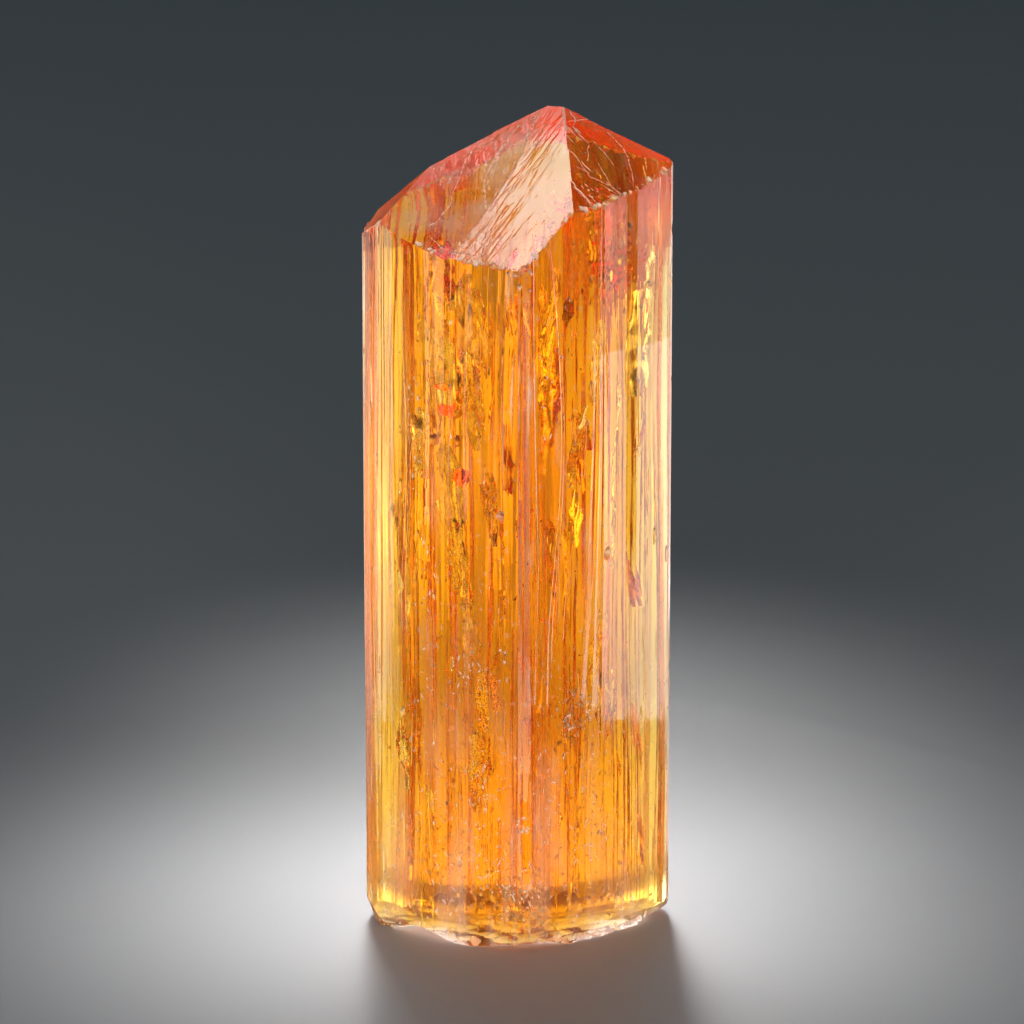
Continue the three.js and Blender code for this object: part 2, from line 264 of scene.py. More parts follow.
def cut_termination(bm):
    """Cuts the prism by the termination's faces, and wears down the ridges between them."""
    for indices, height in FACES.values():
        cut = bmesh.ops.bisect_plane(
            bm, geom=bm.verts[:] + bm.edges[:] + bm.faces[:], dist=1e-5,
            plane_co=(0, 0, height), plane_no=face_normal(indices), clear_outer=True)
        rim = [part for part in cut["geom_cut"] if isinstance(part, bmesh.types.BMEdge)]
        bmesh.ops.contextual_create(bm, geom=rim)
    bmesh.ops.recalc_face_normals(bm, faces=bm.faces)
    ridges = [e for e in bm.edges if all(f.normal.z > RISING for f in e.link_faces)]
    worn = bmesh.ops.bevel(bm, geom=ridges, offset=RIDGE_BEVEL, segments=3, profile=0.5,
                           affect="EDGES", material=-1)
    for face in worn["faces"]:
        face.material_index = WORN


# ---- What grew less or broke off ---------------------------------------------------------------

def new_object(name, bm, collection, kind=None):
    """Links a new object made of a bmesh, all of one kind of surface if a kind is given."""
    if kind is not None:
        for face in bm.faces:
            face.material_index = kind
    mesh = bpy.data.meshes.new(name)
    bm.to_mesh(mesh)
    bm.free()
    for mark in KIND_MARKS:
        mesh.materials.append(mark)
    piece = bpy.data.objects.new(name, mesh)
    collection.objects.link(piece)
    return piece


def block_over(outline, drop, lean, side, place):
    """A tall block over an outline on a face. Its foot is that far below the face and leans by
    that angle away from the outline's first edge, and its walls slope outwards."""
    bm = bmesh.new()
    start = sum(spot.x for spot in outline[:-2]) / (len(outline) - 2)
    fall = math.tan(math.radians(lean))
    verts = [bm.verts.new((x, y, -drop - fall * side * (x - start))) for x, y in outline]
    foot = bm.faces.new(verts)
    grown = bmesh.ops.extrude_face_region(bm, geom=[foot])["geom"]
    top = [part for part in grown if isinstance(part, bmesh.types.BMVert)]
    bmesh.ops.translate(bm, verts=top, vec=(-side * RISER * CLEAR, 0, CLEAR))
    bmesh.ops.recalc_face_normals(bm, faces=bm.faces)
    for face in bm.faces:
        face.material_index = WORN if abs(face.normal.z) < WALLS else GROWN
    bmesh.ops.transform(bm, matrix=place, verts=bm.verts)
    return bm


def wavy_edge(points, rng, pitch=0.35, sway=0.05):
    """The points joined by an edge that wavers a little, as a growth layer's edge does."""
    edge = []
    for start, end in zip(points, points[1:]):
        run = Vector(end) - Vector(start)
        count = max(1, round(run.length / pitch))
        for i in range(count):
            spot = Vector(start) + run * (i / count)
            edge.append(spot + Vector((rng.gauss(0, sway), rng.gauss(0, sway / 2))))
    return edge + [Vector(points[-1])]


def growth_layers(collection):
    rng = random.Random(3)
    for name, layers in LAYERS.items():
        for drop, lean, side, points in layers:
            edge = wavy_edge(points, rng)
            far = [Vector((CLEAR * side, edge[-1].y)), Vector((CLEAR * side, edge[0].y))]
            block = block_over(edge + far, drop, lean, side, face_frame(name))
            new_object("layer", block, collection)


# Etched furrows on the termination: the band that they lie in, from its left edge to its right
# one, on the face, then how many, their heading, their greatest length and their kind.
FURROWS = {
    "front_left": [
        ([(0.95, 1.2), (0.57, -2.5), (0.13, -3.7), (-0.47, -6.1), (-1.3, -8.0)],
         [(2.3, 1.2), (3.9, -3.0), (4.3, -4.6), (3.6, -6.4), (2.7, -8.0)], 170, (-0.34, -0.94), 4.0,
         GROWN),
        ([(-5.2, -5.6), (-4.6, -7.0), (-2.6, -8.0)], [(-1.0, -5.6), (-0.9, -7.0), (-0.9, -8.0)],
         130, (-0.5, -0.86), 0.8, WORN),
        ([(-2.6, 0.5), (-4.6, -6.5)], [(-0.3, 0.5), (-0.6, -6.5)], 26, (-0.34, -0.94), 1.4, GROWN),
    ],
    "front_right": [
        ([(2.1, -2.4), (0.6, -5.5), (0.0, -7.4)], [(4.2, -2.4), (6.0, -5.5), (5.6, -7.2)],
         34, (0.45, -0.89), 1.7, WORN),
        ([(0.3, -6.6), (-0.1, -8.0)], [(6.8, -5.8), (4.0, -7.5)], 40, (0.35, -0.94), 0.5, WORN),
    ],
    "back_left": [
        ([(-2.0, 1.0), (-1.6, -8.0)], [(2.4, 1.0), (5.0, -8.0)], 70, (0.34, -0.94), 1.8, GROWN),
    ],
    "back_right": [
        ([(-2.4, 0.5), (-6.0, -8.0)], [(1.0, 0.5), (2.4, -8.0)], 70, (-0.34, -0.94), 1.8, GROWN),
    ],
}
FURROW_LENGTHS = (0.15, 0.85)    # the least length and the extra, as shares of the greatest one
FURROW_WIDTHS = (0.018, 0.050)   # half the least and the greatest width
FURROW_DEPTH = 0.9               # depth as a share of half the width
FURROW_SWAY = 0.04               # how far a furrow bends to either side on its way
FURROW_TURN = 0.07               # how far its heading strays
FURROW_CROWDING = 0.95           # below 1, furrows crowd towards the band's right edge


def across(line, level):
    """How far to the right a line on a face is, at a level."""
    for (x0, y0), (x1, y1) in zip(line, line[1:]):
        if y1 <= level <= y0:
            return x0 + (x1 - x0) * (level - y0) / (y1 - y0)
    return line[-1][0] if level < line[-1][1] else line[0][0]


def furrows(collection):
    rng = random.Random(17)
    for name, bands in FURROWS.items():
        for left, right, count, heading, longest, kind in bands:
            for _ in range(count):
                level = rng.uniform(left[-1][1], left[0][1])
                share = rng.random() ** FURROW_CROWDING
                spot = across(left, level) * (1 - share) + across(right, level) * share
                length = longest * skewed(rng, *FURROW_LENGTHS)
                width = rng.uniform(*FURROW_WIDTHS)
                turn = math.atan2(-heading[0], heading[1]) + rng.gauss(0, FURROW_TURN)
                shape = Matrix.Diagonal((width, length / 2, width * FURROW_DEPTH, 1))
                bm = bmesh.new()
                bmesh.ops.create_icosphere(bm, subdivisions=2, radius=1, matrix=shape)
                for vert in bm.verts:
                    vert.co.x += FURROW_SWAY * math.sin(5 * vert.co.y + 9 * share)
                place = Matrix.Translation((spot, level, 0)) @ Matrix.Rotation(turn, 4, "Z")
                bmesh.ops.transform(bm, matrix=face_frame(name) @ place, verts=bm.verts)
                new_object("furrow", bm, collection, kind)


# Seams: frosted lines along the growth layers' edges, and scratches. Width, then points on the
# face. Each is a row of beads.
SEAMS = {
    "front_left": [
        (0.13, [(-2.21, -1.4), (-2.42, -2.61), (-2.52, -5.0), (-2.85, -6.01), (-3.25, -6.32)]),
        (0.16, [(-0.05, 0.4), (-0.56, -1.06), (-0.85, -2.21), (-0.92, -3.47), (-0.33, -5.1)]),
        (0.11, [(0.82, 0.6), (0.61, -1.25), (0.52, -2.24), (0.19, -3.66), (-0.11, -5.22)]),
        (0.09, [(-3.9, -6.9), (-3.6, -6.35), (-3.2, -6.15)]),
        (0.07, [(0.1, -0.9), (0.42, -2.3), (0.4, -3.1)]),
        (0.07, [(-0.5, -5.9), (-0.9, -7.3)]),
        (0.09, [(1.5, 0.6), (1.2, -0.1), (1.35, -0.6), (1.0, -1.0)]),
        (0.10, [(-3.1, -6.9), (-2.2, -7.6), (-1.4, -7.9), (-0.4, -7.95)]),
    ],
    "front_right": [
        (0.08, [(1.34, -4.22), (1.83, -6.12), (2.75, -6.8), (3.22, -7.42)]),
        (0.11, [(4.22, -3.41), (4.63, -4.17), (4.77, -5.19), (4.32, -6.7)]),
        (0.09, [(3.08, -3.92), (3.38, -4.6), (3.56, -5.55)]),
        (0.08, [(2.62, -4.15), (2.08, -5.16)]),
        (0.07, [(1.23, -5.34), (1.82, -5.84)]),
        (0.07, [(2.67, -5.23), (2.82, -6.81)]),
        (0.08, [(0.53, -6.53), (0.94, -7.43), (1.07, -7.72)]),
        (0.07, [(2.62, -6.5), (3.15, -7.41)]),
        (0.09, [(2.46, -1.9), (2.63, -2.4), (2.3, -2.8), (2.5, -3.3)]),
    ],
}
SEAM_DEPTH = 0.20                # half a bead's depth
BEAD_WIDTHS = (0.3, 0.6)         # half a bead's width, as a share of the seam's
BEAD_LENGTHS = (0.45, 0.8)       # half its length, as a share of the way to the next bead


def seams(collection):
    rng = random.Random(41)
    for name, lines in SEAMS.items():
        for width, points in lines:
            edge = wavy_edge(points, rng, pitch=0.32, sway=0.045)
            for start, end in zip(edge, edge[1:]):
                run = end - start
                wide = width * rng.uniform(*BEAD_WIDTHS)
                long = run.length * rng.uniform(*BEAD_LENGTHS)
                shape = Matrix.Diagonal((wide, long, SEAM_DEPTH, 1))
                turn = Matrix.Rotation(math.atan2(-run.x, run.y), 4, "Z")
                middle = start.lerp(end, 0.5).to_3d()
                bm = bmesh.new()
                bmesh.ops.create_icosphere(bm, subdivisions=1, radius=1, matrix=turn @ shape)
                place = face_frame(name) @ Matrix.Translation(middle)
                bmesh.ops.transform(bm, matrix=place, verts=bm.verts)
                new_object("seam", bm, collection, WORN)


# Chips: middle and radius of the lump that is bitten out. Its middle lies outside the face.
CHIPS = [
    ((-0.35, -6.76, 37.35), 0.36), ((0.12, -6.70, 37.15), 0.32), ((-0.75, -6.64, 37.00), 0.30),
    ((-0.10, -6.74, 36.80), 0.28), ((0.50, -6.52, 37.30), 0.22), ((-1.20, -6.42, 37.10), 0.22),
    ((-0.50, -6.74, 36.40), 0.24), ((0.10, -6.62, 36.25), 0.20), ((-0.30, -6.78, 35.60), 0.26),
    ((-1.54, -6.24, 24.07), 0.38), ((-0.30, -6.84, 33.70), 0.30), ((-0.20, -6.84, 26.20), 0.30),
    ((4.64, -3.92, 21.33), 0.42), ((-6.60, -2.32, 12.40), 0.40),
    ((8.56, 0.14, 13.82), 0.42), ((8.54, 0.12, 19.60), 0.30), ((8.56, 0.07, 29.90), 0.28),
    ((8.50, 0.27, 38.20), 0.50), ((-8.42, 0.30, 31.80), 0.30), ((-8.40, 0.40, 17.90), 0.30),
    ((-0.60, 6.86, 26.20), 0.46), ((0.20, 6.80, 10.70), 0.40),
]
RING_PITS = [(-1.44, -6.16, 16.33), (-0.30, -6.56, 7.14), (2.30, -5.24, 12.40)]
RING = 0.30                      # radius of the ring of small chips round a pit
RING_RISE = 1.3                  # the ring's height as a share of its width
RING_CHIPS = 9                   # small chips in the ring
RING_CHIP_SIZES = (0.08, 0.18)   # their radii
RIM_CHIPS = 520                  # small chips along the rim of the termination
RIM_CHIP_SIZES = (0.05, 0.20, 2.4)   # their radii: the least, the extra and its power
RIM_CHIP_OUT = (-0.5, 0.4)       # how far out and up their middles are, as shares of their radii
RIM_CHIP_UP = (-0.3, 0.4)
RIM_WORN = 0.6                   # share of them that is worn
BASE_CHIPS = 110                 # small chips round the rim of the base
BASE_CHIP_SIZES = (0.06, 0.30)
BASE_CHIP_OUT = 0.03             # how far out their middles are, as a share, for a radius of 1
BASE_CHIP_SPAN = (0, 0.5)        # heights between which they lie
EDGE_CHIPS = 90                  # small chips up and down the prism's left, right and back edges
EDGE_CHIP_SIZES = (0.05, 0.14)
EDGE_CHIP_OUT = 0.75             # how far out their middles are, as a share of their radii
EDGES = [(8.36, 0.12), (8.33, 0.4), (-8.22, 0.20), (-8.2, 0.6), (-0.55, 6.60)]
EDGE_SPAN = (1, 40)              # heights between which they lie
SMALL_CHIP = 0.2                 # chips of a smaller radius than this have few faces
JAGGED = 0.6                     # how much the radius of such a chip wavers, as a share of it
SHELLY = 0.35                    # the same, for the larger chips
LUMP_WAVES = 1.6                 # how often it wavers

# Broken base: middle, radius and rise of the spots where the fracture leaves the resting plane.
BASE_SPOTS = [
    ((-8.6, 0.5), 1.5, 1.9), ((-6.1, -3.4), 2.3, 0.70), ((-0.1, -7.6), 3.2, 0.80),
    ((9.3, -0.4), 3.6, 0.85), ((6.0, 4.0), 1.8, 0.70), ((0.5, 7.0), 2.6, 0.90),
    ((-5.8, 4.1), 2.0, 0.65), ((1.9, 1.2), 2.3, 0.30), ((-3.3, 0.6), 1.9, 0.22),
]
BASE_CELLS = 90                  # cells of the base's surface, each way
BASE_SPAN = 18.4
BASE_HACKLES = ((0.16, 0.8), (0.05, 2.1))   # height and frequency of its roughness
LEVEL_HACKLES = 1.8              # how much rougher the base is between the spots
LEVEL_DROP = 0.02                # how far that roughness starts below the resting plane
BASE_DEPTH = 3                   # how far the tool that cuts the base reaches down

FAR = 90                         # how far from the origin a piece may draw its noise


def lump(spot, radius, rng):
    """A shell-shaped lump, as topaz breaks. Small ones are more jagged."""
    bm = bmesh.new()
    small = radius < SMALL_CHIP
    waver = JAGGED if small else SHELLY
    bmesh.ops.create_icosphere(bm, subdivisions=1 if small else 2, radius=1)
    shift = Vector((rng.uniform(-FAR, FAR), 0, 0))
    for vert in bm.verts:
        vert.co *= 1 + waver * noise.noise(vert.co * LUMP_WAVES + shift)
    turn = Euler([rng.uniform(0, math.tau) for _ in range(3)]).to_matrix().to_4x4()
    shape = Matrix.Diagonal((radius, radius * rng.uniform(0.5, 1), radius * rng.uniform(0.7, 1.3), 1))
    bmesh.ops.transform(bm, matrix=Matrix.Translation(spot) @ turn @ shape, verts=bm.verts)
    return bm


def girth():
    """The length of the prism's outline."""
    return sum((end - start).length for start, end in prism_sides())


def rim_point(share):
    """A point of the prism's outline, by the share of the way round."""
    left = share * girth()
    for start, end in prism_sides():
        length = (end - start).length
        if left <= length:
            return start.lerp(end, left / length)
        left -= length
    return end


def chips(collection):
    rng = random.Random(5)
    for spot, radius in CHIPS:
        new_object("chip", lump(spot, radius, rng), collection, BROKEN)
    for spot in RING_PITS:
        for i in range(RING_CHIPS):
            turn = math.tau * (i + rng.random()) / RING_CHIPS
            place = Vector(spot) + RING * Vector((math.cos(turn), 0, RING_RISE * math.sin(turn)))
            radius = rng.uniform(*RING_CHIP_SIZES)
            new_object("chip", lump(place, radius, rng), collection, WORN)
    for i in range(RIM_CHIPS):
        spot = rim_point((i + rng.random()) / RIM_CHIPS)
        radius = skewed(rng, *RIM_CHIP_SIZES)
        out = spot.normalized() * rng.uniform(*RIM_CHIP_OUT) * radius
        up = top_height(*spot) + rng.uniform(*RIM_CHIP_UP) * radius
        place = (spot.x + out.x, spot.y + out.y, up)
        kind = WORN if rng.random() < RIM_WORN else BROKEN
        new_object("chip", lump(place, radius, rng), collection, kind)
    for i in range(BASE_CHIPS):
        spot = rim_point((i + rng.random()) / BASE_CHIPS)
        radius = skewed(rng, *BASE_CHIP_SIZES)
        out = 1 + BASE_CHIP_OUT * radius
        place = (spot.x * out, spot.y * out, rng.uniform(*BASE_CHIP_SPAN))
        new_object("chip", lump(place, radius, rng), collection, BROKEN)
    for _ in range(EDGE_CHIPS):
        x, y = rng.choice(EDGES)
        radius = skewed(rng, *EDGE_CHIP_SIZES)
        out = Vector((x, y)).normalized() * EDGE_CHIP_OUT * radius
        place = (x + out.x, y + out.y, rng.uniform(*EDGE_SPAN))
        new_object("chip", lump(place, radius, rng), collection, BROKEN)


# Sprays of tiny bright scars on the front faces: middle, as the way round the prism from the front
# edge and the height, then the spread each way and the count.
SCARS = [
    (3.9, 12.6, 1.2, 1.2, 44), (0.3, 3.4, 1.4, 1.5, 54), (4.8, 5.6, 1.1, 1.5, 30),
    (-2.1, 8.6, 0.9, 1.6, 26), (-3.4, 15.6, 1.2, 1.2, 20), (-5.4, 19.0, 0.8, 4.0, 26),
    (6.1, 22.0, 0.5, 2.5, 16), (-1.8, 5.0, 1.0, 1.4, 22), (-4.6, 6.0, 1.4, 3.0, 24),
    (2.0, 9.0, 1.4, 2.0, 20), (-6.6, 28.0, 0.8, 5.0, 24), (2.4, 30.0, 1.6, 5.0, 18),
]
LOWEST_SCAR = 0.8                # height above which all scars are
SCAR_LENGTHS = (0.08, 0.22)      # half the least length, and the extra
SCAR_WIDTHS = (0.03, 0.07)       # half the width
SCAR_DEPTH = 0.06
SCAR_LEANS = (0.5, 0.6)          # how far they stray from upright, both ways
SCATTER = 0.6                    # standard deviation of a spray or swarm, as a share of its spread


def scars(collection):
    rng = random.Random(61)
    for way, height, wide, tall, count in SCARS:
        for _ in range(count):
            spot = rim_point((way + rng.gauss(0, wide * SCATTER)) / girth() % 1)
            level = max(LOWEST_SCAR, height + rng.gauss(0, tall * SCATTER))
            lean = [rng.gauss(0, most) for most in SCAR_LEANS]
            turn = Euler((*lean, rng.uniform(0, math.tau)))
            length = skewed(rng, *SCAR_LENGTHS)
            shape = Matrix.Diagonal((rng.uniform(*SCAR_WIDTHS), SCAR_DEPTH, length, 1))
            place = Matrix.Translation((*spot, level)) @ turn.to_matrix().to_4x4() @ shape
            bm = bmesh.new()
            bmesh.ops.create_icosphere(bm, subdivisions=1, radius=1, matrix=place)
            new_object("scar", bm, collection, WORN)


DENTS = 220                      # long shallow dents, where the striations of a side run out
DENT_LENGTHS = (0.5, 2.6)        # half the least length, and the extra
DENT_WIDTHS = (0.04, 0.10, 1.5)  # half the least width, the extra and its power
DENT_DEPTHS = (0.4, 0.7)         # depth as a share of half the width
DENT_SPAN = (1, 42)              # heights between which they lie
DENT_LEAN = 0.02                 # how far they stray from upright


def dents(collection):
    rng = random.Random(29)
    for i in range(DENTS):
        spot = rim_point((i + rng.random()) / DENTS)
        start, end = min(prism_sides(), key=lambda ends: off_line(spot, *ends))
        run = end - start
        length = skewed(rng, *DENT_LENGTHS)
        width = skewed(rng, *DENT_WIDTHS)
        shape = Matrix.Diagonal((width, rng.uniform(*DENT_DEPTHS) * width, length, 1))
        turn = Matrix.Rotation(math.atan2(run.y, run.x), 4, "Z")
        lean = Matrix.Rotation(rng.gauss(0, DENT_LEAN), 4, "Y")
        place = Matrix.Translation((*spot, rng.uniform(*DENT_SPAN)))
        bm = bmesh.new()
        bmesh.ops.create_icosphere(bm, subdivisions=2, radius=1,
                                   matrix=place @ turn @ lean @ shape)
        new_object("dent", bm, collection, DENTED)


def off_line(spot, start, end):
    """How far a point is from the line between two corners."""
    share = (spot - start).dot(end - start) / (end - start).length_squared
    return (start.lerp(end, min(1, max(0, share))) - spot).length


def broken_base(collection):
    bm = bmesh.new()
    bmesh.ops.create_grid(bm, x_segments=BASE_CELLS, y_segments=BASE_CELLS, size=BASE_SPAN / 2)
    for vert in bm.verts:
        rises = [
            rise * (1 - (vert.co.xy - Vector(middle)).length / radius)
            for middle, radius, rise in BASE_SPOTS
        ]
        hackle = sum(height * noise.noise(vert.co * often) for height, often in BASE_HACKLES)
        vert.co.z = max(0, max(rises) + hackle, LEVEL_HACKLES * hackle - LEVEL_DROP)
    down = bmesh.ops.extrude_face_region(bm, geom=bm.faces[:])["geom"]
    for part in down:
        if isinstance(part, bmesh.types.BMVert):
            part.co.z = -BASE_DEPTH
    bmesh.ops.recalc_face_normals(bm, faces=bm.faces)
    new_object("base", bm, collection, BROKEN)


def carve(piece, tools):
    """Takes everything in a collection away from a piece, and empties the collection."""
    cut = piece.modifiers.new("carve", "BOOLEAN")
    cut.operation = "DIFFERENCE"
    cut.operand_type = "COLLECTION"
    cut.collection = tools
    cut.solver = "MANIFOLD"
    depsgraph = bpy.context.evaluated_depsgraph_get()
    mesh = bpy.data.meshes.new_from_object(piece.evaluated_get(depsgraph))
    piece.modifiers.remove(cut)
    piece.data = mesh
    for tool in list(tools.objects):
        bpy.data.objects.remove(tool)


# ---- Cracks and veils inside -------------------------------------------------------------------

# Healed cracks: thin gaps with a ragged outline. Middle, width, height, azimuth and tilt of the
# gap's normal in degrees (azimuth 0 faces the front edge, positive to the right).
CRACKS = [
    ((-2.6, -3.5, 35.2), 2.4, 6.5, -62, 4),
    ((-4.0, -2.3, 31.2), 2.8, 7.5, -58, 5),
    ((-2.3, -3.6, 29.6), 2.6, 6.5, -66, 6),
    ((-3.4, -2.6, 24.6), 2.4, 7.0, -55, 3),
    ((-1.6, -4.0, 24.4), 1.6, 5.0, -64, 7),
    ((-2.4, -3.6, 17.4), 1.3, 5.5, -60, 5),
    ((-1.9, -3.9, 13.2), 1.4, 5.0, -68, 4),
    ((2.5, -3.4, 27.5), 1.3, 6.0, 58, 6),
    ((3.6, -2.7, 15.8), 1.2, 6.5, 62, 5),
    ((4.6, -2.2, 25.0), 0.8, 12.0, 66, 2),
    ((0.6, -2.0, 33.0), 2.0, 8.0, 72, 8),
    ((1.4, -1.0, 20.0), 2.4, 9.0, -75, 3),
    ((-5.3, 0.2, 20.0), 2.2, 10.0, -40, 5),
    ((-3.60, -3.40, 29.26), 1.6, 1.8, -14.5, 40.5),
    ((-4.06, -3.10, 30.56), 0.9, 0.8, -14.5, 40.5),
    ((-3.08, -3.60, 25.65), 1.1, 1.9, -14.5, 40.5),
    ((5.6, 0.6, 32.0), 2.0, 8.0, 48, 6),
    ((-3.6, -2.2, 36.2), 1.8, 4.0, -60, 6),
    ((-1.8, -3.5, 33.0), 1.6, 5.0, -58, 5),
    ((-3.0, -3.1, 21.0), 2.0, 6.0, -62, 4),
    ((-2.0, -3.2, 9.5), 1.6, 5.0, -60, 4),
    ((-4.7, -1.6, 27.0), 2.0, 6.0, -52, 4),
]
CRACK_CELL = 0.16                # width of the cells that a crack's surface is made of
CELL_RISE = 1.5                  # their height as a share of their width
CRACK_GAP = 0.02                 # how far its two walls are apart
CRACK_REACH = 0.85               # how far the outline is from the middle of the grid, 1 at its edge
RAGGED = ((0.5, 0.9), (0.3, 2.5))   # share and frequency of what the outline strays from that
OUTLINE_SMOOTHINGS = 3           # how often the outline is smoothed
TALL_CRACK = 5                   # lower cracks than this bend less
# How far a crack bends, and how often along its width and height.
CRACK_BENDS = ((0.35, (0.5, 0.22, 1)), (0.11, (2.2, 0.8, 1)))
CRACK_SWAY = (0.12, 2.1)         # how far its cells stray sideways, and how often


def crack(spot, width, height, azimuth, tilt, rng):
    bm = bmesh.new()
    columns = max(4, round(width / CRACK_CELL))
    rows = max(6, round(height / CRACK_CELL / CELL_RISE))
    bmesh.ops.create_grid(bm, x_segments=columns, y_segments=rows, size=0.5)
    shift = Vector((rng.uniform(-FAR, FAR), rng.uniform(-FAR, FAR), 0))
    ragged = []
    for face in bm.faces:
        middle = face.calc_center_median()
        place = Vector((middle.x * width, middle.y * height * 0.5, 0))
        reach = math.hypot(2 * middle.x, 2 * middle.y)
        ragging = sum(far * noise.noise(place * often + shift) for far, often in RAGGED)
        if reach + ragging > CRACK_REACH:
            ragged.append(face)
    bmesh.ops.delete(bm, geom=ragged, context="FACES")
    bmesh.ops.scale(bm, vec=(width, height, 1), verts=bm.verts)
    for _ in range(OUTLINE_SMOOTHINGS):
        outline = [vert for vert in bm.verts if vert.is_boundary]
        bmesh.ops.smooth_vert(bm, verts=outline, factor=0.5, use_axis_x=True, use_axis_y=True)
    stray, often = CRACK_SWAY
    for vert in bm.verts:
        place = vert.co + shift
        bend = sum(far * noise.noise(place * Vector(waves)) for far, waves in CRACK_BENDS)
        vert.co.z = min(1, height / TALL_CRACK) ** 1.5 * bend
        vert.co.x += stray * noise.noise(place * often)
    bmesh.ops.solidify(bm, geom=bm.faces[:], thickness=CRACK_GAP)
    bmesh.ops.recalc_face_normals(bm, faces=bm.faces)
    upright = Euler((math.radians(90 + tilt), 0, math.radians(azimuth))).to_matrix().to_4x4()
    bmesh.ops.transform(bm, matrix=Matrix.Translation(spot) @ upright, verts=bm.verts)
    return bm


# More cracks, anywhere inside: how many, the ranges of their places along X, Y and Z, and of
# their width, height as a share of it, azimuth to either side, and the mean and spread of the tilt.
LOOSE_CRACKS = 46
LOOSE_PLACES = ((-7, 7), (-5, 5), (3, 38))
LOOSE_WIDTHS = (0.5, 1.8)
LOOSE_RISES = (1.8, 4.5)
LOOSE_AZIMUTHS = (35, 85)
LOOSE_TILTS = (7, 3)


def healed_cracks(collection):
    rng = random.Random(8)
    cracks = list(CRACKS)
    while len(cracks) < len(CRACKS) + LOOSE_CRACKS:
        spot = [rng.uniform(*reach) for reach in LOOSE_PLACES]
        width = rng.uniform(*LOOSE_WIDTHS)
        height = width * rng.uniform(*LOOSE_RISES)
        if inside(Vector(spot), 0.5 + width / 2):
            azimuth = rng.choice((-1, 1)) * rng.uniform(*LOOSE_AZIMUTHS)
            cracks.append((spot, width, height, azimuth, rng.gauss(*LOOSE_TILTS)))
    for spot, width, height, azimuth, tilt in cracks:
        new_object("crack", crack(spot, width, height, azimuth, tilt, rng), collection, HEALED)


# Swarms of tiny flat gaps: middle, spread along X, Y and Z, count, size and kind.
SWARMS = [
    ((2.3, -3.4, 12.3), (0.9, 0.7, 1.5), 130, 0.16, WORN),
    ((-0.3, -4.9, 2.6), (1.8, 0.8, 1.5), 170, 0.15, WORN),
    ((-3.0, -3.2, 12.0), (1.6, 1.0, 5.0), 110, 0.11, WORN),
    ((3.4, -2.7, 6.0), (2.2, 1.2, 3.5), 160, 0.11, WORN),
    ((-3.4, -2.7, 5.0), (2.2, 1.2, 3.0), 140, 0.11, WORN),
    ((-5.5, -1.0, 24.0), (1.2, 1.4, 9.0), 90, 0.10, WORN),
    ((0.0, 0.0, 20.0), (4.5, 3.2, 12.0), 220, 0.10, HEALED),
    ((0.0, 0.0, 5.0), (4.5, 3.2, 3.0), 160, 0.12, WORN),
    ((0.0, 0.0, 1.8), (6.5, 4.6, 1.4), 140, 0.22, WORN),
    ((3.9, 0.8, 36.8), (1.3, 1.4, 2.2), 200, 0.26, HEALED),
]
SWARM_MARGIN = 0.35              # how deep inside the crystal its flakes are at least
FLAKE_SIZES = (0.4, 1.6)         # width as a share of the swarm's size
FLAKE_RISES = (0.8, 2.4)         # height as a share of the width
FLAKE_THICKNESS = 0.12           # the same
FLAKE_LEAN = 0.5                 # how far they stray from upright


def swarm(spot, spread, count, size, rng):
    bm = bmesh.new()
    for _ in range(count):
        place = Vector(spot) + Vector([rng.gauss(0, reach * SCATTER) for reach in spread])
        if not inside(place, SWARM_MARGIN):
            continue
        wide = size * rng.uniform(*FLAKE_SIZES)
        high = wide * rng.uniform(*FLAKE_RISES)
        shape = Matrix.Diagonal((wide, wide * FLAKE_THICKNESS, high, 1))
        lean = [rng.gauss(0, FLAKE_LEAN) for _ in range(2)]
        turn = Euler((*lean, rng.uniform(0, math.tau)))
        matrix = Matrix.Translation(place) @ turn.to_matrix().to_4x4() @ shape
        bmesh.ops.create_icosphere(bm, subdivisions=1, radius=0.5, matrix=matrix)
    return bm


def inside(place, margin):
    """True if a point is inside the crystal by that margin."""
    for start, end in prism_sides():
        side = (end - start).normalized()
        if side.cross(place.xy - start) < margin:
            return False
    return margin < place.z < top_height(place.x, place.y) - 1.5 * margin


def swarms(collection):
    rng = random.Random(21)
    for spot, spread, count, size, kind in SWARMS:
        new_object("swarm", swarm(spot, spread, count, size, rng), collection, kind)


# ---- The whole crystal -------------------------------------------------------------------------

def build_crystal():
    bm = striated_prism()
    cut_termination(bm)
    scene = bpy.context.scene
    crystal = new_object("topaz_prism", bm, scene.collection)
    tools = bpy.data.collections.new("tools")
    scene.collection.children.link(tools)
    growth_layers(tools)
    furrows(tools)
    seams(tools)
    dents(tools)
    scars(tools)
    chips(tools)
    broken_base(tools)
    carve(crystal, tools)
    healed_cracks(tools)
    swarms(tools)
    carve(crystal, tools)
    bpy.data.collections.remove(tools)
    return crystal


def centre(mesh):
    """Moves the crystal's mesh over the origin, as the CAD solid is. Returns the move."""
    lows, highs = [[edge(vert.co[axis] for vert in mesh.vertices) for axis in (0, 1)]
                   for edge in (min, max)]
    move = Vector([-(low + high) / 2 for low, high in zip(lows, highs)] + [0])
    mesh.transform(Matrix.Translation(move))
    return move


SHARP = 35                       # edges that turn by more degrees than this are sharp


def mark_faces(mesh, name, chosen):
    """Gives the faces a value that is 1 on the chosen ones, for the material to read."""
    mark = mesh.attributes.new(name, "FLOAT", "FACE")
    mark.data.foreach_set("value", [float(is_chosen) for is_chosen in chosen])


